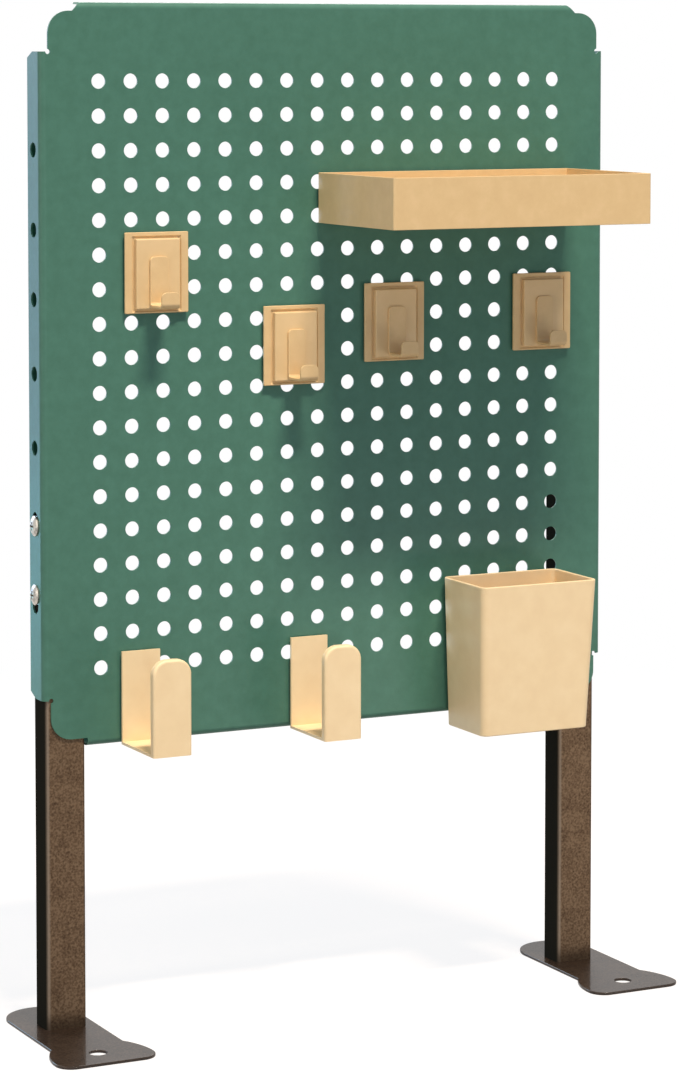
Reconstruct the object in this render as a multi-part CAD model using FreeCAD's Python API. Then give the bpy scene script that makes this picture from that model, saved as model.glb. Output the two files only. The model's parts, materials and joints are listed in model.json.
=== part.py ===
import FreeCAD, Part
import math
import os

V = FreeCAD.Vector
X_AXIS = V(1, 0, 0)
Y_AXIS = V(0, 1, 0)
Z_AXIS = V(0, 0, 1)
ORIGIN = V(0, 0, 0)

os.makedirs("parts", exist_ok=True)

# Working frame while building: X = 0 on the panel's centre line, Y = 0 on its front
# face with the room behind it at +Y, Z = 0 on the desk. All sizes are in millimetres.

# ---- pegboard panel -------------------------------------------------------------
PANEL_WIDTH = 409.5
PANEL_HEIGHT = 473.5
PANEL_DEPTH = 22.8
PANEL_BOTTOM = 183.6
SHEET = 1.2
FOLD_RADIUS = 4.0
RETURN_LIP = 12.0
LIP_RADIUS = 1.6
HOLE_PITCH = 22.0
HOLE_COLUMNS = 16
HOLE_ROWS = 18
HOLE_DIAMETER = 9.6
CORNER_INSET = 5.4
CORNER_RADIUS = 14.0
SIDE_FLANGE_END = 31.0
TOP_FLANGE_END = 22.0
TOP_FLANGE_MITRE = 5.6
FLANGE_CHAMFER_DEEP = 10.0
FLANGE_CHAMFER_LONG = 4.5
TOP_CHAMFER_DEEP = 18.4
TOP_CHAMFER_LONG = 15.0
RELIEF_RADIUS = 1.6
LEG_NOTCH_CLEARANCE = 1.0
SIDE_HOLE_DROPS = (93.0, 143.5, 187.6, 234.8, 281.9)
SLOT_DROPS = (330.5, 380.0)
SLOT_LENGTH = 15.5
SIDE_HOLE_DEPTH = 12.3

# ---- legs and feet --------------------------------------------------------------
LEG_WIDTH = 27.6
LEG_DEPTH = 20.0
LEG_WALL = 1.5
LEG_RADIUS = 3.0
LEG_ABOVE_BOLT = 8.3
LEFT_LEG_GAP = 0.5
RIGHT_LEG_GAP = 3.3
FOOT_THICKNESS = 2.0
FOOT_OFFSET = 3.0
FOOT_BACK = 58.0
FOOT_FRONT = 80.0
FOOT_STEM_HALF_WIDTH = 24.4
FOOT_TOE_HALF_WIDTH = 33.2
FOOT_NECK = 39.5
FOOT_SHOULDER_HALF_WIDTH = 30.0
FOOT_SHOULDER = 50.5
FOOT_TOE_WIDEST = 66.0
FOOT_TOE_RADIUS = 11.0
FOOT_HOLE_DIAMETER = 11.4
FOOT_HOLE_FORWARD = 57.5

# ---- M6 bolts, rivet nuts and spacers -------------------------------------------
# How far each bolt sits above the middle of its slot.
BOLT_RISES = (-1.1, 4.3)
BOLT_DIAMETER = 6.0
BOLT_LENGTH = 16.0
BOLT_HEAD_DIAMETER = 13.0
BOLT_HEAD_HEIGHT = 2.8
BOLT_HEAD_RIM = 0.8
RECESS_LENGTH = 5.6
RECESS_WIDTH = 1.2
RECESS_DEPTH = 1.6
NUT_FLANGE_DIAMETER = 12.6
NUT_FLANGE_THICKNESS = 0.5
NUT_BARREL_DIAMETER = 9.0
NUT_BARREL_LENGTH = 12.0
NUT_BULB_DIAMETER = 11.6
NUT_BULB_LENGTH = 3.0
THREAD_CLEARANCE = 0.05
SPACER_DIAMETER = 12.0
SPACER_HOLE_DIAMETER = 6.6

# ---- accessories, held on by magnets --------------------------------------------
# RISE is a height above the panel's bottom edge, HANG a distance below it.
MAGNET_THICKNESS = 1.5

TRAY_LEFT = -11.6
TRAY_WIDTH = 188.0
TRAY_DEPTH = 108.0
TRAY_HEIGHT = 32.8
TRAY_RISE = 330.9
TRAY_SHEET = 1.2
TRAY_CORNER_RADIUS = 1.6
TRAY_MAGNET_WIDTH = 60.0
TRAY_MAGNET_HEIGHT = 22.0
TRAY_MAGNET_INSET = 12.0

CUP_LEFT = 80.9
CUP_WIDTH = 87.0
CUP_DEPTH = 57.2
CUP_HEIGHT = 100.0
CUP_HANG = 7.9
CUP_SIDE_TAPER = 3.3
CUP_FRONT_TAPER = 6.0
CUP_WALL = 2.0
CUP_CORNER_RADIUS = 5.0
CUP_MAGNET_WIDTH = 60.0
CUP_MAGNET_HEIGHT = 60.0

HOLDER_CENTRES = (-138.6, -18.7)
HOLDER_WIDTH = 26.4
HOLDER_HEIGHT = 61.6
HOLDER_DEPTH = 52.0
HOLDER_HANG = 0.5
HOLDER_SHEET = 1.8
HOLDER_TAB_THICKNESS = 6.5
HOLDER_TAB_RADIUS = 9.8
HOLDER_TAB_ROUNDING = 1.8
HOLDER_BACK_HEIGHT = 60.0
HOLDER_MAGNET_INSET = 2.0

# Each hook's name, its distance right of the panel's middle and its height above
# the panel's bottom edge.
HOOKS = (
    ("hook_one", -126.7, 301.8),
    ("hook_two", -29.3, 251.8),
    ("hook_three", 44.1, 264.5),
    ("hook_four", 156.0, 267.7),
)
HOOK_PLATE_WIDTH = 44.0
HOOK_PLATE_HEIGHT = 51.8
HOOK_PLATE_THICKNESS = 1.8
HOOK_PLATE_RADIUS = 0.8
HOOK_BLOCK_SIDE_MARGIN = 6.8
HOOK_BLOCK_TOP_MARGIN = 4.2
HOOK_BLOCK_BOTTOM_MARGIN = 2.8
HOOK_BLOCK_THICKNESS = 2.6
HOOK_BLOCK_EDGE = 0.5
HOOK_GROOVE_WIDTH = 1.6
HOOK_GROOVE_DEPTH = 1.0
HOOK_STRIP_WIDTH = 12.6
HOOK_STRIP_THICKNESS = 1.6
HOOK_STRIP_TOP = 36.3
HOOK_STRIP_BOTTOM = 4.0
HOOK_STRIP_RADIUS = 3.0
HOOK_REACH = 20.0
HOOK_LIP_TOP = 14.5
HOOK_LIP_RADIUS = 3.5
HOOK_BEND_RADIUS = 3.4
HOOK_MAGNET_INSET = 1.0

# ---- places that follow from the sizes above ------------------------------------
PANEL_TOP = PANEL_BOTTOM + PANEL_HEIGHT
PANEL_SIDE = PANEL_WIDTH / 2
BOLT_HEIGHTS = [PANEL_TOP - drop + rise for drop, rise in zip(SLOT_DROPS, BOLT_RISES)]
LEG_TOP = BOLT_HEIGHTS[0] + LEG_ABOVE_BOLT
FOLD_INSIDE = PANEL_SIDE - SHEET
LEG_FRONT = SHEET
LEFT_LEG_X = -FOLD_INSIDE + LEFT_LEG_GAP
RIGHT_LEG_X = FOLD_INSIDE - RIGHT_LEG_GAP - LEG_WIDTH
LEFT_FOOT_X = LEFT_LEG_X + LEG_WIDTH / 2 - FOOT_OFFSET
RIGHT_FOOT_X = RIGHT_LEG_X + LEG_WIDTH / 2 + FOOT_OFFSET
SPACER_THICKNESS = RIGHT_LEG_GAP - NUT_FLANGE_THICKNESS
ACCESSORY_BACK = -MAGNET_THICKNESS
TRAY_BOTTOM = PANEL_BOTTOM + TRAY_RISE
CUP_BOTTOM = PANEL_BOTTOM - CUP_HANG
HOLDER_BOTTOM = PANEL_BOTTOM - HOLDER_HANG
TRAY_FRONT = ACCESSORY_BACK - TRAY_DEPTH

# The finished file stands with the middle of its base on the origin.
BASE_CENTRE_X = (LEFT_FOOT_X + RIGHT_FOOT_X) / 2
BASE_CENTRE_Y = (TRAY_FRONT + FOOT_BACK) / 2


# ---- small helpers --------------------------------------------------------------
def block(x0, x1, y0, y1, z0, z1):
    return Part.makeBox(x1 - x0, y1 - y0, z1 - z0, V(x0, y0, z0))


def rod(radius, length, start, direction):
    return Part.makeCylinder(radius, length, start, direction)


def prism(points, push):
    """A closed outline of corner points, pushed out along a vector."""
    outline = Part.makePolygon(points + [points[0]])
    return Part.Face(outline).extrude(push)


def arc_edge(centre, radius, start_deg, end_deg, at):
    """An arc given by its angles; at() places a flat pair of numbers in space."""
    ends = []
    for angle in (start_deg, (start_deg + end_deg) / 2, end_deg):
        turn = math.radians(angle)
        ends.append(at(centre[0] + radius * math.cos(turn), centre[1] + radius * math.sin(turn)))
    return Part.Arc(ends[0], ends[1], ends[2]).toShape()


def line_edge(start, end, at):
    return Part.makeLine(at(start[0], start[1]), at(end[0], end[1]))


def rounded_plate(x0, x1, z0, z1, radius, y0, y1):
    """An upright plate whose four corners are rounded in the front view."""
    plate = block(x0, x1, y0, y1, z0, z1)
    corners = []
    for edge in plate.Edges:
        if edge.BoundBox.YLength > (y1 - y0) / 2:
            corners.append(edge)
    return plate.makeFillet(radius, corners)


def mirrored(shape):
    return shape.mirror(ORIGIN, X_AXIS)


def save(node, solids):
    shape = Part.makeCompound(solids) if len(solids) > 1 else solids[0]
    placed = shape.copy()
    placed.translate(V(-BASE_CENTRE_X, -BASE_CENTRE_Y, 0))
    placed.exportStep("parts/" + node + ".step")


# ---- pegboard panel -------------------------------------------------------------
def folded_edge(length, chamfer_deep, chamfer_long):
    """One folded edge: front strip, flange and return lip, running up +Z.

    X is the distance in from the flange's outer face, Y the distance back. The back
    corner at each end is cut off, chamfer_deep by chamfer_long.
    """
    def at(x, y):
        return V(x, y, 0)
    inner_fold = FOLD_RADIUS - SHEET
    inner_lip = LIP_RADIUS - SHEET
    lip_centre = (LIP_RADIUS, PANEL_DEPTH - LIP_RADIUS)
    fold_centre = (FOLD_RADIUS, FOLD_RADIUS)
    inside_back = PANEL_DEPTH - SHEET
    edges = [
        line_edge((FOLD_RADIUS, 0), (RETURN_LIP, 0), at),
        line_edge((RETURN_LIP, 0), (RETURN_LIP, SHEET), at),
        line_edge((RETURN_LIP, SHEET), (FOLD_RADIUS, SHEET), at),
        arc_edge(fold_centre, inner_fold, 270, 180, at),
        line_edge((SHEET, FOLD_RADIUS), (SHEET, PANEL_DEPTH - LIP_RADIUS), at),
        arc_edge(lip_centre, inner_lip, 180, 90, at),
        line_edge((LIP_RADIUS, inside_back), (RETURN_LIP, inside_back), at),
        line_edge((RETURN_LIP, inside_back), (RETURN_LIP, PANEL_DEPTH), at),
        line_edge((RETURN_LIP, PANEL_DEPTH), (LIP_RADIUS, PANEL_DEPTH), at),
        arc_edge(lip_centre, LIP_RADIUS, 90, 180, at),
        line_edge((0, PANEL_DEPTH - LIP_RADIUS), (0, FOLD_RADIUS), at),
        arc_edge(fold_centre, FOLD_RADIUS, 180, 270, at),
    ]
    outline = Part.Wire(Part.__sortEdges__(edges))
    fold = Part.Face(outline).extrude(V(0, 0, length))
    for end, inward in ((0, 1), (length, -1)):
        chamfer = prism([
            V(0, PANEL_DEPTH - chamfer_deep, end),
            V(0, PANEL_DEPTH, end),
            V(0, PANEL_DEPTH, end + inward * chamfer_long),
        ], V(RETURN_LIP, 0, 0))
        fold = fold.cut(chamfer)
    return fold


def side_fold():
    length = PANEL_HEIGHT - 2 * SIDE_FLANGE_END
    fold = folded_edge(length, FLANGE_CHAMFER_DEEP, FLANGE_CHAMFER_LONG)
    fold.translate(V(-PANEL_SIDE, 0, PANEL_BOTTOM + SIDE_FLANGE_END))
    return fold


def level_fold(x0, x1, chamfer_deep, chamfer_long, mitre):
    """A folded edge laid along the panel's bottom edge from x0 to x1."""
    length = x1 - x0
    fold = folded_edge(length, chamfer_deep, chamfer_long)
    if mitre > 0:
        for end, inward in ((0, 1), (length, -1)):
            corner = prism([
                V(0, 0, end), V(mitre, 0, end), V(0, 0, end + inward * mitre),
            ], V(0, PANEL_DEPTH, 0))
            fold = fold.cut(corner)
    fold.rotate(ORIGIN, Y_AXIS, -90)
    fold.translate(V(x1, 0, PANEL_BOTTOM))
    return fold


def peg_hole_places():
    first_x = -HOLE_PITCH * (HOLE_COLUMNS - 1) / 2
    first_z = PANEL_BOTTOM + PANEL_HEIGHT / 2 - HOLE_PITCH * (HOLE_ROWS - 1) / 2
    places = []
    for column in range(HOLE_COLUMNS):
        for row in range(HOLE_ROWS):
            places.append((first_x + column * HOLE_PITCH, first_z + row * HOLE_PITCH))
    return places


def perforated_sheet():
    half_width = PANEL_SIDE - CORNER_INSET
    low = PANEL_BOTTOM + CORNER_INSET
    high = PANEL_TOP - CORNER_INSET
    outline = rounded_plate(-half_width, half_width, low, high, CORNER_RADIUS, 0, SHEET)
    front_face = max(outline.Faces, key=lambda face: face.Area)
    rim = max(front_face.Wires, key=lambda wire: wire.Length)
    back_at = front_face.CenterOfMass.y
    wires = [rim]
    for x, z in peg_hole_places():
        ring = Part.makeCircle(HOLE_DIAMETER / 2, V(x, back_at, z), Y_AXIS)
        wires.append(Part.Wire(ring))
    face = Part.Face(wires, "Part::FaceMakerBullseye")
    thickness = SHEET if back_at < SHEET / 2 else -SHEET
    return face.extrude(V(0, thickness, 0))


def side_openings():
    """The round holes and the two bolt slots through one side flange."""
    cutters = []
    deep = SIDE_HOLE_DEPTH
    outside = -PANEL_SIDE - SHEET
    radius = HOLE_DIAMETER / 2
    for drop in SIDE_HOLE_DROPS:
        cutters.append(rod(radius, 3 * SHEET, V(outside, deep, PANEL_TOP - drop), X_AXIS))
    half_straight = (SLOT_LENGTH - HOLE_DIAMETER) / 2
    for drop in SLOT_DROPS:
        middle = PANEL_TOP - drop
        low = middle - half_straight
        high = middle + half_straight
        slot = block(outside, outside + 3 * SHEET, deep - radius, deep + radius, low, high)
        for end in (low, high):
            slot = slot.fuse(rod(radius, 3 * SHEET, V(outside, deep, end), X_AXIS))
        cutters.append(slot.removeSplitter())
    return cutters


def corner_reliefs():
    """Small round notches where each flange stops at a corner."""
    cutters = []
    across = PANEL_SIDE - CORNER_INSET
    for z in (PANEL_BOTTOM + SIDE_FLANGE_END, PANEL_TOP - SIDE_FLANGE_END):
        for x in (-across, across):
            cutters.append(rod(RELIEF_RADIUS, 3 * SHEET, V(x, -SHEET, z), Y_AXIS))
    return cutters


def build_panel():
    left = side_fold()
    right = mirrored(left)
    top_start = -PANEL_SIDE + TOP_FLANGE_END
    top = level_fold(
        top_start, -top_start, TOP_CHAMFER_DEEP, TOP_CHAMFER_LONG, TOP_FLANGE_MITRE)
    top = top.mirror(V(0, 0, PANEL_BOTTOM + PANEL_HEIGHT / 2), Z_AXIS)
    bottom_start = LEFT_LEG_X + LEG_WIDTH + LEG_NOTCH_CLEARANCE
    bottom_end = RIGHT_LEG_X - LEG_NOTCH_CLEARANCE
    bottom = level_fold(
        bottom_start, bottom_end, FLANGE_CHAMFER_DEEP, FLANGE_CHAMFER_LONG, 0)
    folds = left.fuse([right, top, bottom])
    cutters = side_openings()
    cutters = cutters + [mirrored(cutter) for cutter in cutters] + corner_reliefs()
    panel = perforated_sheet().fuse(folds).removeSplitter()
    return panel.cut(cutters)


# ---- legs and feet --------------------------------------------------------------
def rounded_bar(x0, x1, y0, y1, z0, z1, radius):
    bar = block(x0, x1, y0, y1, z0, z1)
    corners = [edge for edge in bar.Edges if edge.BoundBox.ZLength > (z1 - z0) / 2]
    return bar.makeFillet(radius, corners)


def build_leg(left_x, nut_side):
    """A rectangular tube; nut_side is -1 or 1, the wall that holds the rivet nuts."""
    back = LEG_FRONT + LEG_DEPTH
    right_x = left_x + LEG_WIDTH
    outside = rounded_bar(left_x, right_x, LEG_FRONT, back, FOOT_THICKNESS, LEG_TOP, LEG_RADIUS)
    hollow = rounded_bar(
        left_x + LEG_WALL, right_x - LEG_WALL, LEG_FRONT + LEG_WALL, back - LEG_WALL,
        FOOT_THICKNESS, LEG_TOP, LEG_RADIUS - LEG_WALL)
    leg = outside.cut(hollow)
    wall_x = left_x if nut_side < 0 else right_x
    for height in BOLT_HEIGHTS:
        start = V(wall_x + nut_side * LEG_WALL, SIDE_HOLE_DEPTH, height)
        leg = leg.cut(rod(NUT_BARREL_DIAMETER / 2, 3 * LEG_WALL, start, V(-nut_side, 0, 0)))
    return leg


def foot_half_outline(at):
    """The right half of the foot plate's outline, from its back to its front."""
    stem = FOOT_STEM_HALF_WIDTH
    toe = FOOT_TOE_HALF_WIDTH
    front = -FOOT_FRONT
    corner = (toe - FOOT_TOE_RADIUS, front + FOOT_TOE_RADIUS)
    shoulder = Part.Arc(
        at(stem, -FOOT_NECK),
        at(FOOT_SHOULDER_HALF_WIDTH, -FOOT_SHOULDER),
        at(toe, -FOOT_TOE_WIDEST))
    return [
        arc_edge((0, FOOT_BACK - stem), stem, 90, 0, at),
        line_edge((stem, FOOT_BACK - stem), (stem, -FOOT_NECK), at),
        shoulder.toShape(),
        line_edge((toe, -FOOT_TOE_WIDEST), (toe, corner[1]), at),
        arc_edge(corner, FOOT_TOE_RADIUS, 0, -90, at),
        line_edge((corner[0], front), (0, front), at),
    ]


def build_foot(centre_x):
    def right_half(x, y):
        return V(centre_x + x, y, 0)

    def left_half(x, y):
        return V(centre_x - x, y, 0)
    edges = foot_half_outline(right_half) + foot_half_outline(left_half)
    outline = Part.Wire(Part.__sortEdges__(edges))
    plate = Part.Face(outline).extrude(V(0, 0, FOOT_THICKNESS))
    hole = rod(FOOT_HOLE_DIAMETER / 2, 3 * FOOT_THICKNESS,
               V(centre_x, -FOOT_HOLE_FORWARD, -FOOT_THICKNESS), Z_AXIS)
    return plate.cut(hole)


# ---- fasteners, each built pointing inward along +X from the outer face ---------
def truss_bolt():
    """A low domed head with a cross recess; its underside lies on X = 0."""
    radius = BOLT_HEAD_DIAMETER / 2
    rise = BOLT_HEAD_HEIGHT - BOLT_HEAD_RIM
    dome_radius = (radius * radius + rise * rise) / (2 * rise)
    ball = Part.makeSphere(dome_radius, V(dome_radius - BOLT_HEAD_HEIGHT, 0, 0))
    head = rod(radius, BOLT_HEAD_HEIGHT, V(-BOLT_HEAD_HEIGHT, 0, 0), X_AXIS).common(ball)
    half_length = RECESS_LENGTH / 2
    half_width = RECESS_WIDTH / 2
    tall = block(-BOLT_HEAD_HEIGHT, RECESS_DEPTH - BOLT_HEAD_HEIGHT,
                 -half_width, half_width, -half_length, half_length)
    wide = block(-BOLT_HEAD_HEIGHT, RECESS_DEPTH - BOLT_HEAD_HEIGHT,
                 -half_length, half_length, -half_width, half_width)
    head = head.cut(tall.fuse(wide))
    shank = rod(BOLT_DIAMETER / 2, BOLT_LENGTH, ORIGIN, X_AXIS)
    return head.fuse(shank).removeSplitter()


def rivet_nut():
    """Its flange's inner face, which lies on the tube wall, is on X = 0."""
    flange = rod(NUT_FLANGE_DIAMETER / 2, NUT_FLANGE_THICKNESS,
                 V(-NUT_FLANGE_THICKNESS, 0, 0), X_AXIS)
    barrel = rod(NUT_BARREL_DIAMETER / 2, NUT_BARREL_LENGTH, ORIGIN, X_AXIS)
    bulb = rod(NUT_BULB_DIAMETER / 2, NUT_BULB_LENGTH, V(LEG_WALL, 0, 0), X_AXIS)
    thread = rod(BOLT_DIAMETER / 2 + THREAD_CLEARANCE, 2 * NUT_BARREL_LENGTH,
                 V(-NUT_FLANGE_THICKNESS, 0, 0), X_AXIS)
    return flange.fuse([barrel, bulb]).removeSplitter().cut(thread)


def spacer():
    """A plain ring that fills the gap between the rivet nut and the flange."""
    ring = rod(SPACER_DIAMETER / 2, SPACER_THICKNESS, ORIGIN, X_AXIS)
    return ring.cut(rod(SPACER_HOLE_DIAMETER / 2, SPACER_THICKNESS, ORIGIN, X_AXIS))


def at_bolts(make, outer_x, side):
    """One copy per bolt, placed at depth outer_x and facing in from that side."""
    copies = []
    for height in BOLT_HEIGHTS:
        piece = make()
        if side > 0:
            piece = mirrored(piece)
        piece.translate(V(outer_x, SIDE_HOLE_DEPTH, height))
        copies.append(piece)
    return copies


# ---- accessories ----------------------------------------------------------------
def build_tray():
    left = TRAY_LEFT
    right = TRAY_LEFT + TRAY_WIDTH
    top = TRAY_BOTTOM + TRAY_HEIGHT
    outside = rounded_bar(left, right, TRAY_FRONT, ACCESSORY_BACK,
                          TRAY_BOTTOM, top, TRAY_CORNER_RADIUS)
    inside = rounded_bar(
        left + TRAY_SHEET, right - TRAY_SHEET, TRAY_FRONT + TRAY_SHEET,
        ACCESSORY_BACK - TRAY_SHEET, TRAY_BOTTOM + TRAY_SHEET, top + TRAY_SHEET,
        TRAY_CORNER_RADIUS - TRAY_SHEET)
    return outside.cut(inside)


def tray_magnets():
    middle = TRAY_BOTTOM + TRAY_HEIGHT / 2
    low = middle - TRAY_MAGNET_HEIGHT / 2
    high = middle + TRAY_MAGNET_HEIGHT / 2
    near = TRAY_LEFT + TRAY_MAGNET_INSET
    far = TRAY_LEFT + TRAY_WIDTH - TRAY_MAGNET_INSET
    return [
        block(near, near + TRAY_MAGNET_WIDTH, ACCESSORY_BACK, 0, low, high),
        block(far - TRAY_MAGNET_WIDTH, far, ACCESSORY_BACK, 0, low, high),
    ]


def cup_section(z, inset):
    """The cup's rounded outline at height z, drawn in by inset on every side."""
    rise = (z - CUP_BOTTOM) / CUP_HEIGHT
    side = CUP_SIDE_TAPER * (1 - rise) + inset
    x0 = CUP_LEFT + side
    x1 = CUP_LEFT + CUP_WIDTH - side
    y0 = ACCESSORY_BACK - CUP_DEPTH + CUP_FRONT_TAPER * (1 - rise) + inset
    y1 = ACCESSORY_BACK - inset
    radius = CUP_CORNER_RADIUS - inset

    def at(x, y):
        return V(x, y, z)
    edges = [
        line_edge((x0 + radius, y0), (x1 - radius, y0), at),
        arc_edge((x1 - radius, y0 + radius), radius, 270, 360, at),
        line_edge((x1, y0 + radius), (x1, y1 - radius), at),
        arc_edge((x1 - radius, y1 - radius), radius, 0, 90, at),
        line_edge((x1 - radius, y1), (x0 + radius, y1), at),
        arc_edge((x0 + radius, y1 - radius), radius, 90, 180, at),
        line_edge((x0, y1 - radius), (x0, y0 + radius), at),
        arc_edge((x0 + radius, y0 + radius), radius, 180, 270, at),
    ]
    return Part.Wire(edges)


def build_cup():
    top = CUP_BOTTOM + CUP_HEIGHT
    outside = Part.makeLoft([cup_section(CUP_BOTTOM, 0), cup_section(top, 0)], True)
    inside = Part.makeLoft([
        cup_section(CUP_BOTTOM + CUP_WALL, CUP_WALL),
        cup_section(top + CUP_WALL, CUP_WALL),
    ], True)
    return outside.cut(inside)


def cup_magnet():
    middle_x = CUP_LEFT + CUP_WIDTH / 2
    middle_z = CUP_BOTTOM + CUP_HEIGHT / 2
    half_width = CUP_MAGNET_WIDTH / 2
    half_height = CUP_MAGNET_HEIGHT / 2
    return block(middle_x - half_width, middle_x + half_width, ACCESSORY_BACK, 0,
                 middle_z - half_height, middle_z + half_height)


def build_holder(centre_x):
    """Back plate, shelf and thick front tab of one note holder, in one piece."""
    half = HOLDER_WIDTH / 2
    left = centre_x - half
    right = centre_x + half
    low = HOLDER_BOTTOM
    front = ACCESSORY_BACK - HOLDER_DEPTH
    tab = block(left, right, front, front + HOLDER_TAB_THICKNESS, low, low + HOLDER_HEIGHT)
    top_corners = [
        edge for edge in tab.Edges
        if edge.BoundBox.YLength > HOLDER_TAB_THICKNESS / 2 and edge.BoundBox.ZMin > low]
    tab = tab.makeFillet(HOLDER_TAB_RADIUS, top_corners)
    rims = []
    for edge in tab.Edges:
        box = edge.BoundBox
        if box.YLength < HOLDER_TAB_THICKNESS / 2 and box.ZMax > low + HOLDER_TAB_ROUNDING:
            rims.append(edge)
    tab = tab.makeFillet(HOLDER_TAB_ROUNDING, rims)
    shelf = block(left, right, front + HOLDER_TAB_THICKNESS / 2, ACCESSORY_BACK,
                  low, low + HOLDER_SHEET)
    back = block(left, right, ACCESSORY_BACK - HOLDER_SHEET, ACCESSORY_BACK,
                 low, low + HOLDER_BACK_HEIGHT)
    return tab.fuse([shelf, back]).removeSplitter()


def holder_magnet(centre_x):
    half = HOLDER_WIDTH / 2 - HOLDER_MAGNET_INSET
    low = HOLDER_BOTTOM + HOLDER_MAGNET_INSET
    high = HOLDER_BOTTOM + HOLDER_BACK_HEIGHT - HOLDER_MAGNET_INSET
    return block(centre_x - half, centre_x + half, ACCESSORY_BACK, 0,
                 max(low, PANEL_BOTTOM + CORNER_INSET), high)


def hook_magnet(centre_x, centre_z):
    half_width = HOOK_PLATE_WIDTH / 2 - HOOK_MAGNET_INSET
    half_height = HOOK_PLATE_HEIGHT / 2 - HOOK_MAGNET_INSET
    return block(centre_x - half_width, centre_x + half_width, ACCESSORY_BACK, 0,
                 centre_z - half_height, centre_z + half_height)


def hook_block_outline(centre_x, centre_z):
    """Left, right, low and high sides of the raised block on a hook's plate."""
    half_width = HOOK_PLATE_WIDTH / 2 - HOOK_BLOCK_SIDE_MARGIN
    low = centre_z - HOOK_PLATE_HEIGHT / 2 + HOOK_BLOCK_BOTTOM_MARGIN
    high = centre_z + HOOK_PLATE_HEIGHT / 2 - HOOK_BLOCK_TOP_MARGIN
    return centre_x - half_width, centre_x + half_width, low, high


def hook_plate(centre_x, centre_z):
    """The flat plate, with a shallow groove running round the raised block."""
    half_width = HOOK_PLATE_WIDTH / 2
    half_height = HOOK_PLATE_HEIGHT / 2
    front = ACCESSORY_BACK - HOOK_PLATE_THICKNESS
    plate = rounded_plate(centre_x - half_width, centre_x + half_width,
                          centre_z - half_height, centre_z + half_height,
                          HOOK_PLATE_RADIUS, front, ACCESSORY_BACK)
    left, right, low, high = hook_block_outline(centre_x, centre_z)
    floor = front + HOOK_GROOVE_DEPTH
    out = HOOK_GROOVE_WIDTH
    groove = block(left - out, right + out, front, floor, low - out, high + out)
    return plate.cut(groove.cut(block(left, right, front, floor, low, high)))


def hook_block(centre_x, centre_z):
    back = ACCESSORY_BACK - HOOK_PLATE_THICKNESS
    front = back - HOOK_BLOCK_THICKNESS
    left, right, low, high = hook_block_outline(centre_x, centre_z)
    raised = block(left, right, front, back, low, high)
    rims = [
        edge for edge in raised.Edges
        if edge.BoundBox.YMax < front + HOOK_BLOCK_THICKNESS / 2]
    return raised.makeChamfer(HOOK_BLOCK_EDGE, rims)


def hook_strip(centre_x, centre_z):
    """A flat strip down the block, forward as an arm and up again as a lip."""
    wall = ACCESSORY_BACK - HOOK_PLATE_THICKNESS - HOOK_BLOCK_THICKNESS
    base = centre_z - HOOK_PLATE_HEIGHT / 2
    thick = HOOK_STRIP_THICKNESS
    left = centre_x - HOOK_STRIP_WIDTH / 2
    low = base + HOOK_STRIP_BOTTOM
    lip_top = base + HOOK_LIP_TOP
    strip_top = base + HOOK_STRIP_TOP
    outer = HOOK_BEND_RADIUS
    inner = HOOK_BEND_RADIUS - thick
    tip = wall - HOOK_REACH

    def at(y, z):
        return V(left, y, z)
    back_centre = (wall - outer, low + outer)
    front_centre = (tip + outer, low + outer)
    edges = [
        line_edge((wall, strip_top), (wall, low + outer), at),
        arc_edge(back_centre, outer, 0, -90, at),
        line_edge((wall - outer, low), (tip + outer, low), at),
        arc_edge(front_centre, outer, 270, 180, at),
        line_edge((tip, low + outer), (tip, lip_top), at),
        line_edge((tip, lip_top), (tip + thick, lip_top), at),
        line_edge((tip + thick, lip_top), (tip + thick, low + outer), at),
        arc_edge(front_centre, inner, 180, 270, at),
        line_edge((tip + outer, low + thick), (wall - outer, low + thick), at),
        arc_edge(back_centre, inner, -90, 0, at),
        line_edge((wall - thick, low + outer), (wall - thick, strip_top), at),
        line_edge((wall - thick, strip_top), (wall, strip_top), at),
    ]
    outline = Part.Wire(Part.__sortEdges__(edges))
    strip = Part.Face(outline).extrude(V(HOOK_STRIP_WIDTH, 0, 0))
    for height, radius in ((strip_top, HOOK_STRIP_RADIUS), (lip_top, HOOK_LIP_RADIUS)):
        corners = []
        for edge in strip.Edges:
            box = edge.BoundBox
            if box.YLength > thick / 2 and box.XLength < thick / 2 and box.ZMin > height - thick / 2:
                if box.ZMax < height + thick / 2:
                    corners.append(edge)
        strip = strip.makeFillet(radius, corners)
    return strip


# ---- write every node -----------------------------------------------------------
save("pegboard_panel", [build_panel()])
save("left_leg_tube", [build_leg(LEFT_LEG_X, -1)])
save("right_leg_tube", [build_leg(RIGHT_LEG_X, 1)])
save("left_foot_plate", [build_foot(LEFT_FOOT_X)])
save("right_foot_plate", [build_foot(RIGHT_FOOT_X)])
save("left_leg_bolts", at_bolts(truss_bolt, -PANEL_SIDE, -1))
save("right_leg_bolts", at_bolts(truss_bolt, PANEL_SIDE, 1))
save("left_leg_rivet_nuts", at_bolts(rivet_nut, LEFT_LEG_X, -1))
save("right_leg_rivet_nuts", at_bolts(rivet_nut, RIGHT_LEG_X + LEG_WIDTH, 1))
save("right_leg_spacers", at_bolts(spacer, FOLD_INSIDE, 1))
save("shelf_tray", [build_tray()])
save("shelf_tray_magnets", tray_magnets())
save("pen_cup", [build_cup()])
save("pen_cup_magnet", [cup_magnet()])
for holder, centre in zip(("left_note_holder", "right_note_holder"), HOLDER_CENTRES):
    save(holder, [build_holder(centre)])
    save(holder + "_magnet", [holder_magnet(centre)])
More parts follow.
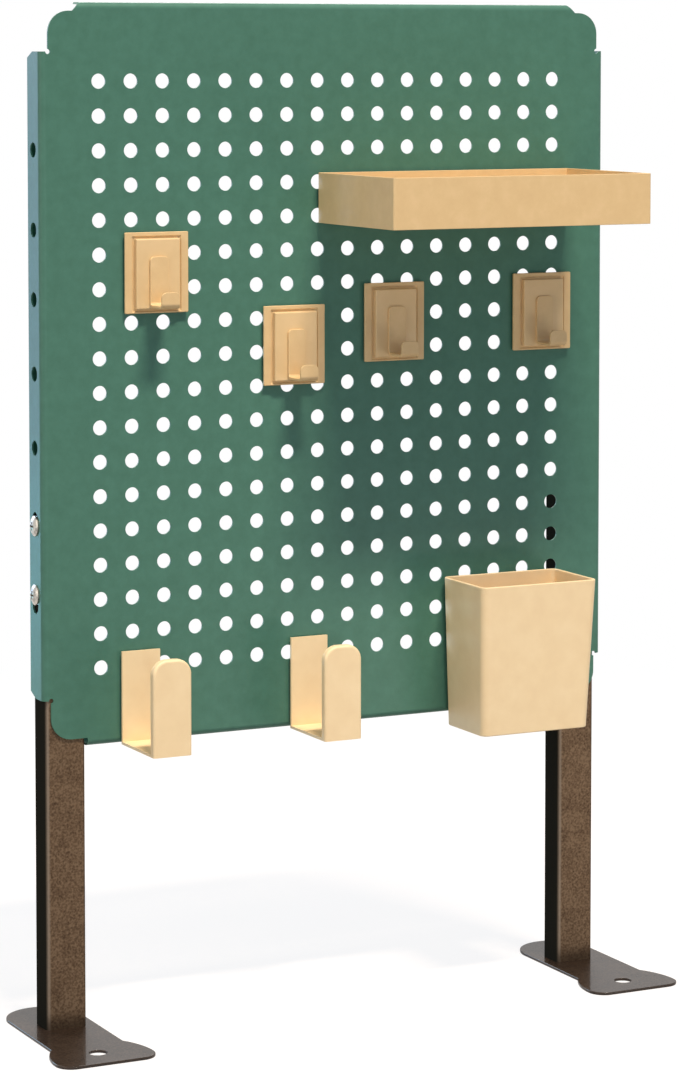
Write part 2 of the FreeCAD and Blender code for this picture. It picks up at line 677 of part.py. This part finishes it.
for hook, hook_x, hook_rise in HOOKS:
    hook_z = PANEL_BOTTOM + hook_rise
    save(hook + "_magnet", [hook_magnet(hook_x, hook_z)])
    save(hook + "_plate", [hook_plate(hook_x, hook_z)])
    save(hook + "_block", [hook_block(hook_x, hook_z)])
    save(hook + "_strip", [hook_strip(hook_x, hook_z)])
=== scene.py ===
import json
import math

import bmesh
import bpy
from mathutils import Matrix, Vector


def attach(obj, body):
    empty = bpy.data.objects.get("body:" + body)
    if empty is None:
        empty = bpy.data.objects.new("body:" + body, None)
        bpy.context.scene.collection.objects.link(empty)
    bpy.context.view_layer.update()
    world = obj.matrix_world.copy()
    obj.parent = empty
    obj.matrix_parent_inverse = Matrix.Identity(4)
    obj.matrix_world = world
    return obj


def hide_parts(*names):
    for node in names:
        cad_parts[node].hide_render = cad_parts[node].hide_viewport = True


# Pegboard desk organizer: the finishes, rounded edges, lamps and camera for its packed
# solids. A length is in millimetres where its name says so, and else in metres.
MM = 0.001

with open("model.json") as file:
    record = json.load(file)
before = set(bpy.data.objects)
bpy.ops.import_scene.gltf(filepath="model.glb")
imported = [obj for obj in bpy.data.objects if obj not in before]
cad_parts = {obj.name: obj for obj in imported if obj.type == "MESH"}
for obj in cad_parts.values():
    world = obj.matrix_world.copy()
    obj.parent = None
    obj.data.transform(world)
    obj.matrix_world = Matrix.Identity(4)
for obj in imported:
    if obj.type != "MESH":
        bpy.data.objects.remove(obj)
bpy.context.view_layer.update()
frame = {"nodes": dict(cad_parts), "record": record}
nodes = frame["nodes"]
body_of_node = {
    node: body for body, members in frame["record"]["behaviour"]["bodies"].items()
    for node in members}


# ---- camera -------------------------------------------------------------------------
CAMERA_PLACE = (-1.0169, -2.0267, 0.6288)
CAMERA_TURN = 26.50       # degrees to the right of straight ahead
CAMERA_DIP = 3.90         # degrees below level
CAMERA_LENS = 116.9       # focal length in millimetres
CAMERA_SHIFT = -0.235     # brings the legs into the frame with the lens nearly level
CAMERA_NEAREST = 0.05
CAMERA_FURTHEST = 60.0


def make_camera():
    lens = bpy.data.cameras.new("camera")
    lens.lens = CAMERA_LENS
    lens.shift_y = CAMERA_SHIFT
    lens.clip_start = CAMERA_NEAREST
    lens.clip_end = CAMERA_FURTHEST
    camera = bpy.data.objects.new("camera", lens)
    camera.location = CAMERA_PLACE
    camera.rotation_euler = (math.radians(90 - CAMERA_DIP), 0, -math.radians(CAMERA_TURN))
    bpy.context.scene.collection.objects.link(camera)
    bpy.context.scene.camera = camera


# ---- material helpers ---------------------------------------------------------------
# A Mix node's sockets by number, because its number and colour sockets share names.
MIX_FACTOR = 0
NUMBER_A = 2
NUMBER_B = 3
COLOUR_A = 6
COLOUR_B = 7
NUMBER_OUT = 0
COLOUR_OUT = 2


def linear(hex_colour):
    """An sRGB hex colour, such as "497564", as the linear values that a shader takes."""
    values = []
    for start in (0, 2, 4):
        part = int(hex_colour[start:start + 2], 16) / 255
        values.append(part / 12.92 if part <= 0.04045 else ((part + 0.055) / 1.055) ** 2.4)
    return (*values, 1.0)


def per_mm(size_mm):
    """The texture scale that makes one cell of a pattern about size_mm across."""
    return 1 / (size_mm * MM)


def add(tree, kind, sockets=None, stops=(), **settings):
    """Add a node. A socket, named or numbered, takes a value or another node's output.
    A colour ramp's stops are its positions and hex colours, in order."""
    node = tree.nodes.new("ShaderNode" + kind)
    for name, value in settings.items():
        setattr(node, name, value)
    for key, value in (sockets or {}).items():
        if isinstance(value, bpy.types.NodeSocket):
            tree.links.new(value, node.inputs[key])
        else:
            node.inputs[key].default_value = value
    if stops:
        elements = node.color_ramp.elements
        while len(elements) < len(stops):
            elements.new(0.5)
        for element, (position, hex_colour) in zip(elements, stops):
            element.position = position
            element.color = linear(hex_colour)
    return node


def new_material(name):
    """An empty material, its node tree and the node that gives the object's own
    coordinates in metres."""
    material = bpy.data.materials.new(name)
    material.use_nodes = True
    tree = material.node_tree
    tree.nodes.clear()
    place = add(tree, "TexCoord")
    return material, tree, place


# ---- powder coat --------------------------------------------------------------------
PEEL_MM = 1.2             # the real peel is about half as wide, too fine to show
PEEL_RELIEF = 0.35
PEEL_SHEEN = 0.06         # how far the peel shifts the roughness either way


def powder_coat(name, dark, body, light, roughness, gloss, mottle_mm, peel_depth_mm):
    """Polyester powder sprayed on steel and baked: matt to satin and even in colour,
    with the faint orange-peel skin of grains that melted together."""
    material, tree, place = new_material(name)
    cloud = add(tree, "TexNoise", {
        "Vector": place.outputs["Object"], "Scale": per_mm(mottle_mm),
        "Detail": 4.0, "Roughness": 0.62})
    colour = add(tree, "ValToRGB", {"Fac": cloud.outputs["Fac"]},
                 stops=((0.32, dark), (0.5, body), (0.68, light)))
    peel = add(tree, "TexNoise", {
        "Vector": place.outputs["Object"], "Scale": per_mm(PEEL_MM),
        "Detail": 2.0, "Roughness": 0.5})
    bump = add(tree, "Bump", {
        "Height": peel.outputs["Fac"], "Strength": PEEL_RELIEF,
        "Distance": peel_depth_mm * MM})
    sheen = add(tree, "MapRange", {
        "Value": peel.outputs["Fac"],
        "To Min": roughness - PEEL_SHEEN, "To Max": roughness + PEEL_SHEEN})
    shader = add(tree, "BsdfPrincipled", {
        "Base Color": colour.outputs["Color"], "Roughness": sheen.outputs["Result"],
        "Normal": bump.outputs["Normal"], "IOR": 1.5, "Specular IOR Level": gloss})
    add(tree, "OutputMaterial", {"Surface": shader.outputs["BSDF"]})
    return material


# ---- moulded plastic ----------------------------------------------------------------
PIGMENT_CLOUD_MM = 14.0
SPARK_GRAIN_MM = 0.9      # the real grain is a few tenths wide, too fine to show
SPARK_GRAIN_DEPTH_MM = 0.05
SPARK_GRAIN_RELIEF = 0.25


def moulded_plastic(name, dark, body, light):
    """Injection-moulded ABS: close to matt, with the fine grain of its spark-eroded
    mould and a slight cloudiness of the pigment."""
    material, tree, place = new_material(name)
    cloud = add(tree, "TexNoise", {
        "Vector": place.outputs["Object"], "Scale": per_mm(PIGMENT_CLOUD_MM),
        "Detail": 3.0})
    colour = add(tree, "ValToRGB", {"Fac": cloud.outputs["Fac"]},
                 stops=((0.3, dark), (0.5, body), (0.7, light)))
    grain = add(tree, "TexNoise", {
        "Vector": place.outputs["Object"], "Scale": per_mm(SPARK_GRAIN_MM),
        "Detail": 1.0})
    bump = add(tree, "Bump", {
        "Height": grain.outputs["Fac"], "Strength": SPARK_GRAIN_RELIEF,
        "Distance": SPARK_GRAIN_DEPTH_MM * MM})
    shader = add(tree, "BsdfPrincipled", {
        "Base Color": colour.outputs["Color"], "Roughness": 0.48,
        "Normal": bump.outputs["Normal"], "IOR": 1.53})
    add(tree, "OutputMaterial", {"Surface": shader.outputs["BSDF"]})
    return material


# ---- hammered enamel ----------------------------------------------------------------
HAMMER_CELL_MM = 1.5
HAMMER_SPECK_MM = 1.6
HAMMER_CLOUD_MM = 11.0
SPECK_SHARE = 0.7         # of specks in the hammer pattern, the rest being cells
CLOUD_SHARE = 0.25        # of clouds in the tone
HAMMER_DEPTH_MM = 0.15
HAMMER_RELIEF = 0.35
ENAMEL_ROUGHNESS = 0.42
ENAMEL_METAL = 0.3        # share of the bronze flakes that shine as metal
PAINTED_CORNER_HIGHLIGHT = "8E8071"    # painted highlight along the tube's left front corner
CORNER_HIGHLIGHT_SHARE = 0.65
# Painted shade: the tube's colour darkens towards the foot, where it meets the plate.
PAINTED_FOOT_SHADE = "2A211A"
FOOT_SHADE_SHARE = 0.7
FOOT_SHADE_STARTS_MM = 15.0
FOOT_SHADE_FULL_MM = 3.0
# Painted shade: the tube's left and right sides are coloured close to black and made dull.
PAINTED_SIDE_SHADE = "25231D"
SHADED_SIDE_ROUGHNESS = 0.8
# How far the surface faces sideways, from -1 to 1, where each zone starts and is full.
CORNER_STARTS, CORNER_FULL = -0.02, -0.35
SIDE_SHADE_STARTS, SIDE_SHADE_FULL = 0.50, 0.92


def shade_tube(tree, place, colour):
    """Light and shade painted onto an upright tube: a painted highlight on the paler left
    front corner, painted shade darkening it near the foot, and painted shade making the
    left and right sides close to black. Gives the colour, and a mask that is 1 on those
    two sides."""
    facing = add(tree, "SeparateXYZ", {"Vector": place.outputs["Normal"]})
    corner = add(tree, "MapRange", {
        "Value": facing.outputs["X"], "From Min": CORNER_STARTS,
        "From Max": CORNER_FULL, "To Max": CORNER_HIGHLIGHT_SHARE})
    # Painted highlight: the left front corner is coloured paler.
    with_corner_highlight = add(tree, "Mix", {
        MIX_FACTOR: corner.outputs["Result"], COLOUR_A: colour,
        COLOUR_B: linear(PAINTED_CORNER_HIGHLIGHT)}, data_type="RGBA")
    # Painted shade: darker towards the foot.
    height = add(tree, "SeparateXYZ", {"Vector": place.outputs["Object"]})
    low = add(tree, "MapRange", {
        "Value": height.outputs["Z"], "From Min": FOOT_SHADE_STARTS_MM * MM,
        "From Max": FOOT_SHADE_FULL_MM * MM, "To Max": FOOT_SHADE_SHARE},
        interpolation_type="SMOOTHSTEP")
    with_foot_shade = add(tree, "Mix", {
        MIX_FACTOR: low.outputs["Result"], COLOUR_A: with_corner_highlight.outputs[COLOUR_OUT],
        COLOUR_B: linear(PAINTED_FOOT_SHADE)}, data_type="RGBA")
    # Painted shade: the sideways-facing sides go close to black.
    sideways = add(tree, "Math", {0: facing.outputs["X"]}, operation="ABSOLUTE")
    sides = add(tree, "MapRange", {
        "Value": sideways.outputs["Value"], "From Min": SIDE_SHADE_STARTS,
        "From Max": SIDE_SHADE_FULL})
    shaded = add(tree, "Mix", {
        MIX_FACTOR: sides.outputs["Result"], COLOUR_A: with_foot_shade.outputs[COLOUR_OUT],
        COLOUR_B: linear(PAINTED_SIDE_SHADE)}, data_type="RGBA")
    return shaded.outputs[COLOUR_OUT], sides.outputs["Result"]


def hammertone(name, gloss_coat, dark, body, light, is_tube):
    """Hammered bronze enamel over steel: the paint draws up into small shiny cells with
    darker valleys between them, which the eye takes as a fine brown sparkle."""
    material, tree, place = new_material(name)
    cells = add(tree, "TexVoronoi", {
        "Vector": place.outputs["Object"], "Scale": per_mm(HAMMER_CELL_MM),
        "Randomness": 1.0})
    specks = add(tree, "TexNoise", {
        "Vector": place.outputs["Object"], "Scale": per_mm(HAMMER_SPECK_MM),
        "Detail": 2.0, "Roughness": 0.6})
    clouds = add(tree, "TexNoise", {
        "Vector": place.outputs["Object"], "Scale": per_mm(HAMMER_CLOUD_MM),
        "Detail": 3.0})
    hammer = add(tree, "Mix", {
        MIX_FACTOR: SPECK_SHARE, NUMBER_A: cells.outputs["Distance"],
        NUMBER_B: specks.outputs["Fac"]})
    tone = add(tree, "Mix", {
        MIX_FACTOR: CLOUD_SHARE, NUMBER_A: hammer.outputs[NUMBER_OUT],
        NUMBER_B: clouds.outputs["Fac"]})
    bronze = add(tree, "ValToRGB", {"Fac": tone.outputs[NUMBER_OUT]},
                 stops=((0.34, dark), (0.47, body), (0.60, light)))
    colour = bronze.outputs["Color"]
    # A tube takes painted highlight and painted shade into its colour, and its shaded
    # sides lose their shine.
    sides = 0.0
    if is_tube:
        colour, sides = shade_tube(tree, place, colour)
    rough = add(tree, "MapRange", {
        "Value": sides, "To Min": ENAMEL_ROUGHNESS, "To Max": SHADED_SIDE_ROUGHNESS})
    metal = add(tree, "MapRange", {
        "Value": sides, "To Min": ENAMEL_METAL, "To Max": 0.0})
    bump = add(tree, "Bump", {
        "Height": hammer.outputs[NUMBER_OUT], "Strength": HAMMER_RELIEF,
        "Distance": HAMMER_DEPTH_MM * MM})
    shader = add(tree, "BsdfPrincipled", {
        "Base Color": colour, "Roughness": rough.outputs["Result"],
        "Metallic": metal.outputs["Result"], "Normal": bump.outputs["Normal"],
        "IOR": 1.5, "Specular IOR Level": 0.0,
        "Coat Weight": gloss_coat, "Coat Roughness": 0.09, "Coat IOR": 1.5})
    add(tree, "OutputMaterial", {"Surface": shader.outputs["BSDF"]})
    return material


# ---- bolts and magnets --------------------------------------------------------------
ZINC_BLOTCH_MM = 2.5
FERRITE_GRAIN_MM = 1.0    # the real grain is a few hundredths wide, too fine to show


def plated_steel():
    """Bright zinc plate on turned steel: a grey metal with soft blotches in its shine."""
    material, tree, place = new_material("zinc_plated_steel")
    blotch = add(tree, "TexNoise", {
        "Vector": place.outputs["Object"], "Scale": per_mm(ZINC_BLOTCH_MM),
        "Detail": 3.0})
    colour = add(tree, "ValToRGB", {"Fac": blotch.outputs["Fac"]},
                 stops=((0.3, "8E8982"), (0.7, "C9C3BA")))
    rough = add(tree, "MapRange", {
        "Value": blotch.outputs["Fac"], "To Min": 0.2, "To Max": 0.42})
    shader = add(tree, "BsdfPrincipled", {
        "Base Color": colour.outputs["Color"], "Metallic": 1.0,
        "Roughness": rough.outputs["Result"]})
    add(tree, "OutputMaterial", {"Surface": shader.outputs["BSDF"]})
    return material


def magnet_sheet():
    """Rubber-bonded ferrite, calendered into sheet: dull dark grey with a fine grain."""
    material, tree, place = new_material("ferrite_rubber_sheet")
    grain = add(tree, "TexNoise", {
        "Vector": place.outputs["Object"], "Scale": per_mm(FERRITE_GRAIN_MM),
        "Detail": 2.0})
    colour = add(tree, "ValToRGB", {"Fac": grain.outputs["Fac"]},
                 stops=((0.35, "1B1A19"), (0.65, "2C2A28")))
    shader = add(tree, "BsdfPrincipled", {
        "Base Color": colour.outputs["Color"], "Roughness": 0.8, "IOR": 1.52})
    add(tree, "OutputMaterial", {"Surface": shader.outputs["BSDF"]})
    return material


# ---- rounding of the coated and moulded edges ---------------------------------------
WELD_MM = 0.002                     # corners of the solid's triangles join within this
FLAT_ANGLE = math.radians(0.5)      # triangles this close to one plane become one face
EDGE_ANGLE = math.radians(40)       # edges that turn more than this are rounded
CREASE_ANGLE = math.radians(50)     # edges that still turn more than this stay sharp


def soften(node_name, radius_mm, segments):
    """A copy of a solid whose edges are rounded as its coat or its mould rounds them."""
    mesh = nodes[node_name].data.copy()
    shape = bmesh.new()
    shape.from_mesh(mesh)
    bmesh.ops.remove_doubles(shape, verts=shape.verts, dist=WELD_MM * MM)
    bmesh.ops.dissolve_limit(
        shape, angle_limit=FLAT_ANGLE, verts=shape.verts, edges=shape.edges)
    sharp = [edge for edge in shape.edges
             if len(edge.link_faces) == 2 and edge.calc_face_angle(0) > EDGE_ANGLE]
    bmesh.ops.bevel(
        shape, geom=sharp, offset=radius_mm * MM, offset_type="OFFSET", affect="EDGES",
        segments=segments, profile=0.5, material=-1, clamp_overlap=True)
    shape.to_mesh(mesh)
    shape.free()
    for face in mesh.polygons:
        face.use_smooth = True
    mesh.set_sharp_from_angle(angle=CREASE_ANGLE)
    piece = bpy.data.objects.new(node_name + "_rounded", mesh)
    bpy.context.scene.collection.objects.link(piece)
    weighted = piece.modifiers.new("even flats", "WEIGHTED_NORMAL")
    weighted.keep_sharp = True
    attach(piece, body_of_node[node_name])
    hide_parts(node_name)
    return piece


# ---- studio -------------------------------------------------------------------------
WHITE = (1, 1, 1, 1)
WORLD_FILL = (0.115, 0.19, 0.325, 1)      # faint cool light from all round
FLOOR_SHADE = (0.26, 0.225, 0.20, 1)      # what the floor gives back of the light
FLOOR_LIFT = 0.80                         # brings the lit floor up to white
FLOOR_HALF_WIDTH = 20.0
SHADOW_KEPT = 0.5                         # the floor keeps its shadow this far out
SHADOW_GONE = 1.3                         # and is plain white from here

MIDDLE = (0.0, 0.0, 0.33)
LOW_MIDDLE = (0.0, 0.0, 0.2)
LOW_RIGHT = (0.05, 0.0, 0.2)
LOW_LEFT = (-0.2, 0.0, 0.2)
TOP_EDGE = (0.0, 0.0, 0.65)
# Each lamp's name, place, aim, width, height, watts and colour. The first casts the
# shadow. The next three fill the front and the left faces, the two windows cool the left
# flange, and the last two light the back and the top fold.
LAMPS = (
    ("overhead_softbox", (0.15, -2.26, 5.18), MIDDLE, 1.5, 0.45, 366, (1.0, 0.88, 0.74)),
    ("front_softbox", (-0.5, -3.0, 0.35), LOW_MIDDLE, 1.8, 0.7, 9, (0.82, 0.96, 1.0)),
    ("low_softbox", (0.42, -0.66, 0.08), LOW_RIGHT, 0.25, 0.1, 0.6, (1.0, 0.98, 0.92)),
    ("side_softbox", (-2.9, -0.35, 1.25), MIDDLE, 2.6, 2.4, 36, (1.0, 0.93, 0.82)),
    ("cool_window", (-0.95, 1.9, 0.55), MIDDLE, 0.4, 1.9, 10.2, (0.30, 0.54, 1.0)),
    ("low_window", (-0.62, 0.9, 0.13), LOW_LEFT, 0.3, 0.2, 0.55, (0.15, 0.79, 1.0)),
    ("back_softbox", (-1.1, 2.6, 1.3), MIDDLE, 1.4, 1.0, 18, (0.86, 0.95, 1.0)),
    ("rim_softbox", (1.15, 2.6, 2.15), TOP_EDGE, 1.9, 1.1, 36, (1.0, 0.98, 0.93)),
)


def area_light(name, place, aim, width, height, watts, colour):
    lamp = bpy.data.lights.new(name, "AREA")
    lamp.shape = "RECTANGLE"
    lamp.size = width
    lamp.size_y = height
    lamp.energy = watts
    lamp.color = colour
    holder = bpy.data.objects.new(name, lamp)
    holder.location = place
    direction = Vector(aim) - Vector(place)
    holder.rotation_euler = direction.to_track_quat("-Z", "Y").to_euler()
    bpy.context.scene.collection.objects.link(holder)


def seen_plainly(tree):
    """1 for a camera, mirror or glass ray, 0 for a ray that carries light."""
    path = add(tree, "LightPath")
    mirrored = add(tree, "Math", {
        0: path.outputs["Is Camera Ray"], 1: path.outputs["Is Glossy Ray"]},
        operation="MAXIMUM")
    through = add(tree, "Math", {
        0: mirrored.outputs["Value"], 1: path.outputs["Is Transmission Ray"]},
        operation="MAXIMUM")
    return through.outputs["Value"]


def make_world():
    """White to look at, and a faint cool fill for the light that it gives."""
    world = bpy.data.worlds.new("studio")
    world.use_nodes = True
    tree = world.node_tree
    tree.nodes.clear()
    colour = add(tree, "Mix", {
        MIX_FACTOR: seen_plainly(tree), COLOUR_A: WORLD_FILL, COLOUR_B: WHITE},
        data_type="RGBA")
    back = add(tree, "Background", {
        "Color": colour.outputs[COLOUR_OUT], "Strength": 1.0})
    add(tree, "OutputWorld", {"Surface": back.outputs["Background"]})
    bpy.context.scene.world = world


def pale_floor():
    """Matt board, lifted to white in the camera's eye so that only the shadow shows, and
    plain white further out."""
    material, tree, place = new_material("pale_floor")
    matt = add(tree, "BsdfDiffuse", {"Color": FLOOR_SHADE})
    lift = add(tree, "Emission", {"Color": WHITE, "Strength": FLOOR_LIFT})
    near = add(tree, "AddShader", {0: matt.outputs["BSDF"], 1: lift.outputs["Emission"]})
    far = add(tree, "Emission", {"Color": WHITE, "Strength": 1.0})
    distance = add(tree, "VectorMath", {0: place.outputs["Object"]}, operation="LENGTH")
    fade = add(tree, "MapRange", {
        "Value": distance.outputs["Value"], "From Min": SHADOW_KEPT,
        "From Max": SHADOW_GONE}, interpolation_type="SMOOTHSTEP")
    white = add(tree, "MixShader", {
        0: fade.outputs["Result"], 1: near.outputs["Shader"],
        2: far.outputs["Emission"]})
    shown = add(tree, "MixShader", {
        0: seen_plainly(tree), 1: matt.outputs["BSDF"], 2: white.outputs["Shader"]})
    add(tree, "OutputMaterial", {"Surface": shown.outputs["Shader"]})
    return material


def make_floor():
    sheet = bmesh.new()
    bmesh.ops.create_grid(sheet, x_segments=1, y_segments=1, size=FLOOR_HALF_WIDTH)
    mesh = bpy.data.meshes.new("floor")
    sheet.to_mesh(mesh)
    sheet.free()
    mesh.materials.append(pale_floor())
    floor = bpy.data.objects.new("floor", mesh)
    bpy.context.scene.collection.objects.link(floor)


bpy.context.scene.view_settings.view_transform = "Standard"
make_camera()
make_world()
make_floor()
for lamp_values in LAMPS:
    area_light(*lamp_values)

# ---- finishes -----------------------------------------------------------------------
FINISHES = {
    "board_green": powder_coat(
        "green_powder_coated_steel", "467160", "497564", "4C7968",
        roughness=0.37, gloss=0.2, mottle_mm=9, peel_depth_mm=0.06),
    "leg_bronze": hammertone(
        "bronze_hammertone_steel", 0.0, "4A3B2E", "604D3C", "74604C", is_tube=True),
    "foot_bronze": hammertone(
        "bronze_hammertone_gloss", 0.5, "241C16", "2E241D", "3B2F26", is_tube=False),
    "cream_metal": powder_coat(
        "cream_powder_coated_steel", "DBBA88", "DEBE8B", "E2C290",
        roughness=0.5, gloss=0.35, mottle_mm=12, peel_depth_mm=0.04),
    "cream_plastic": moulded_plastic("cream_abs", "F0D3A4", "F3D7A8", "F6DBAD"),
    "hook_plastic": moulded_plastic("warm_cream_abs", "DCBC89", "DFBF8C", "E3C391"),
    "plated_steel": plated_steel(),
    "magnet_sheet": magnet_sheet(),
}

# Pieces whose edges are rounded: radius in millimetres and number of facets.
ROUNDED = {
    "shelf_tray": (0.35, 2),
    "pen_cup": (0.7, 3),
    "left_note_holder": (0.4, 2),
    "right_note_holder": (0.4, 2),
    "left_foot_plate": (0.5, 2),
    "right_foot_plate": (0.5, 2),
}
for hook in ("hook_one", "hook_two", "hook_three", "hook_four"):
    ROUNDED[hook + "_plate"] = (0.45, 2)
    ROUNDED[hook + "_block"] = (0.3, 2)
    ROUNDED[hook + "_strip"] = (0.3, 2)

for part in frame["record"]["subparts"]:
    name = part["node"]
    shown = nodes[name]
    if name in ROUNDED:
        shown = soften(name, *ROUNDED[name])
    shown.data.materials.clear()
    shown.data.materials.append(FINISHES[part["material_slot"]])
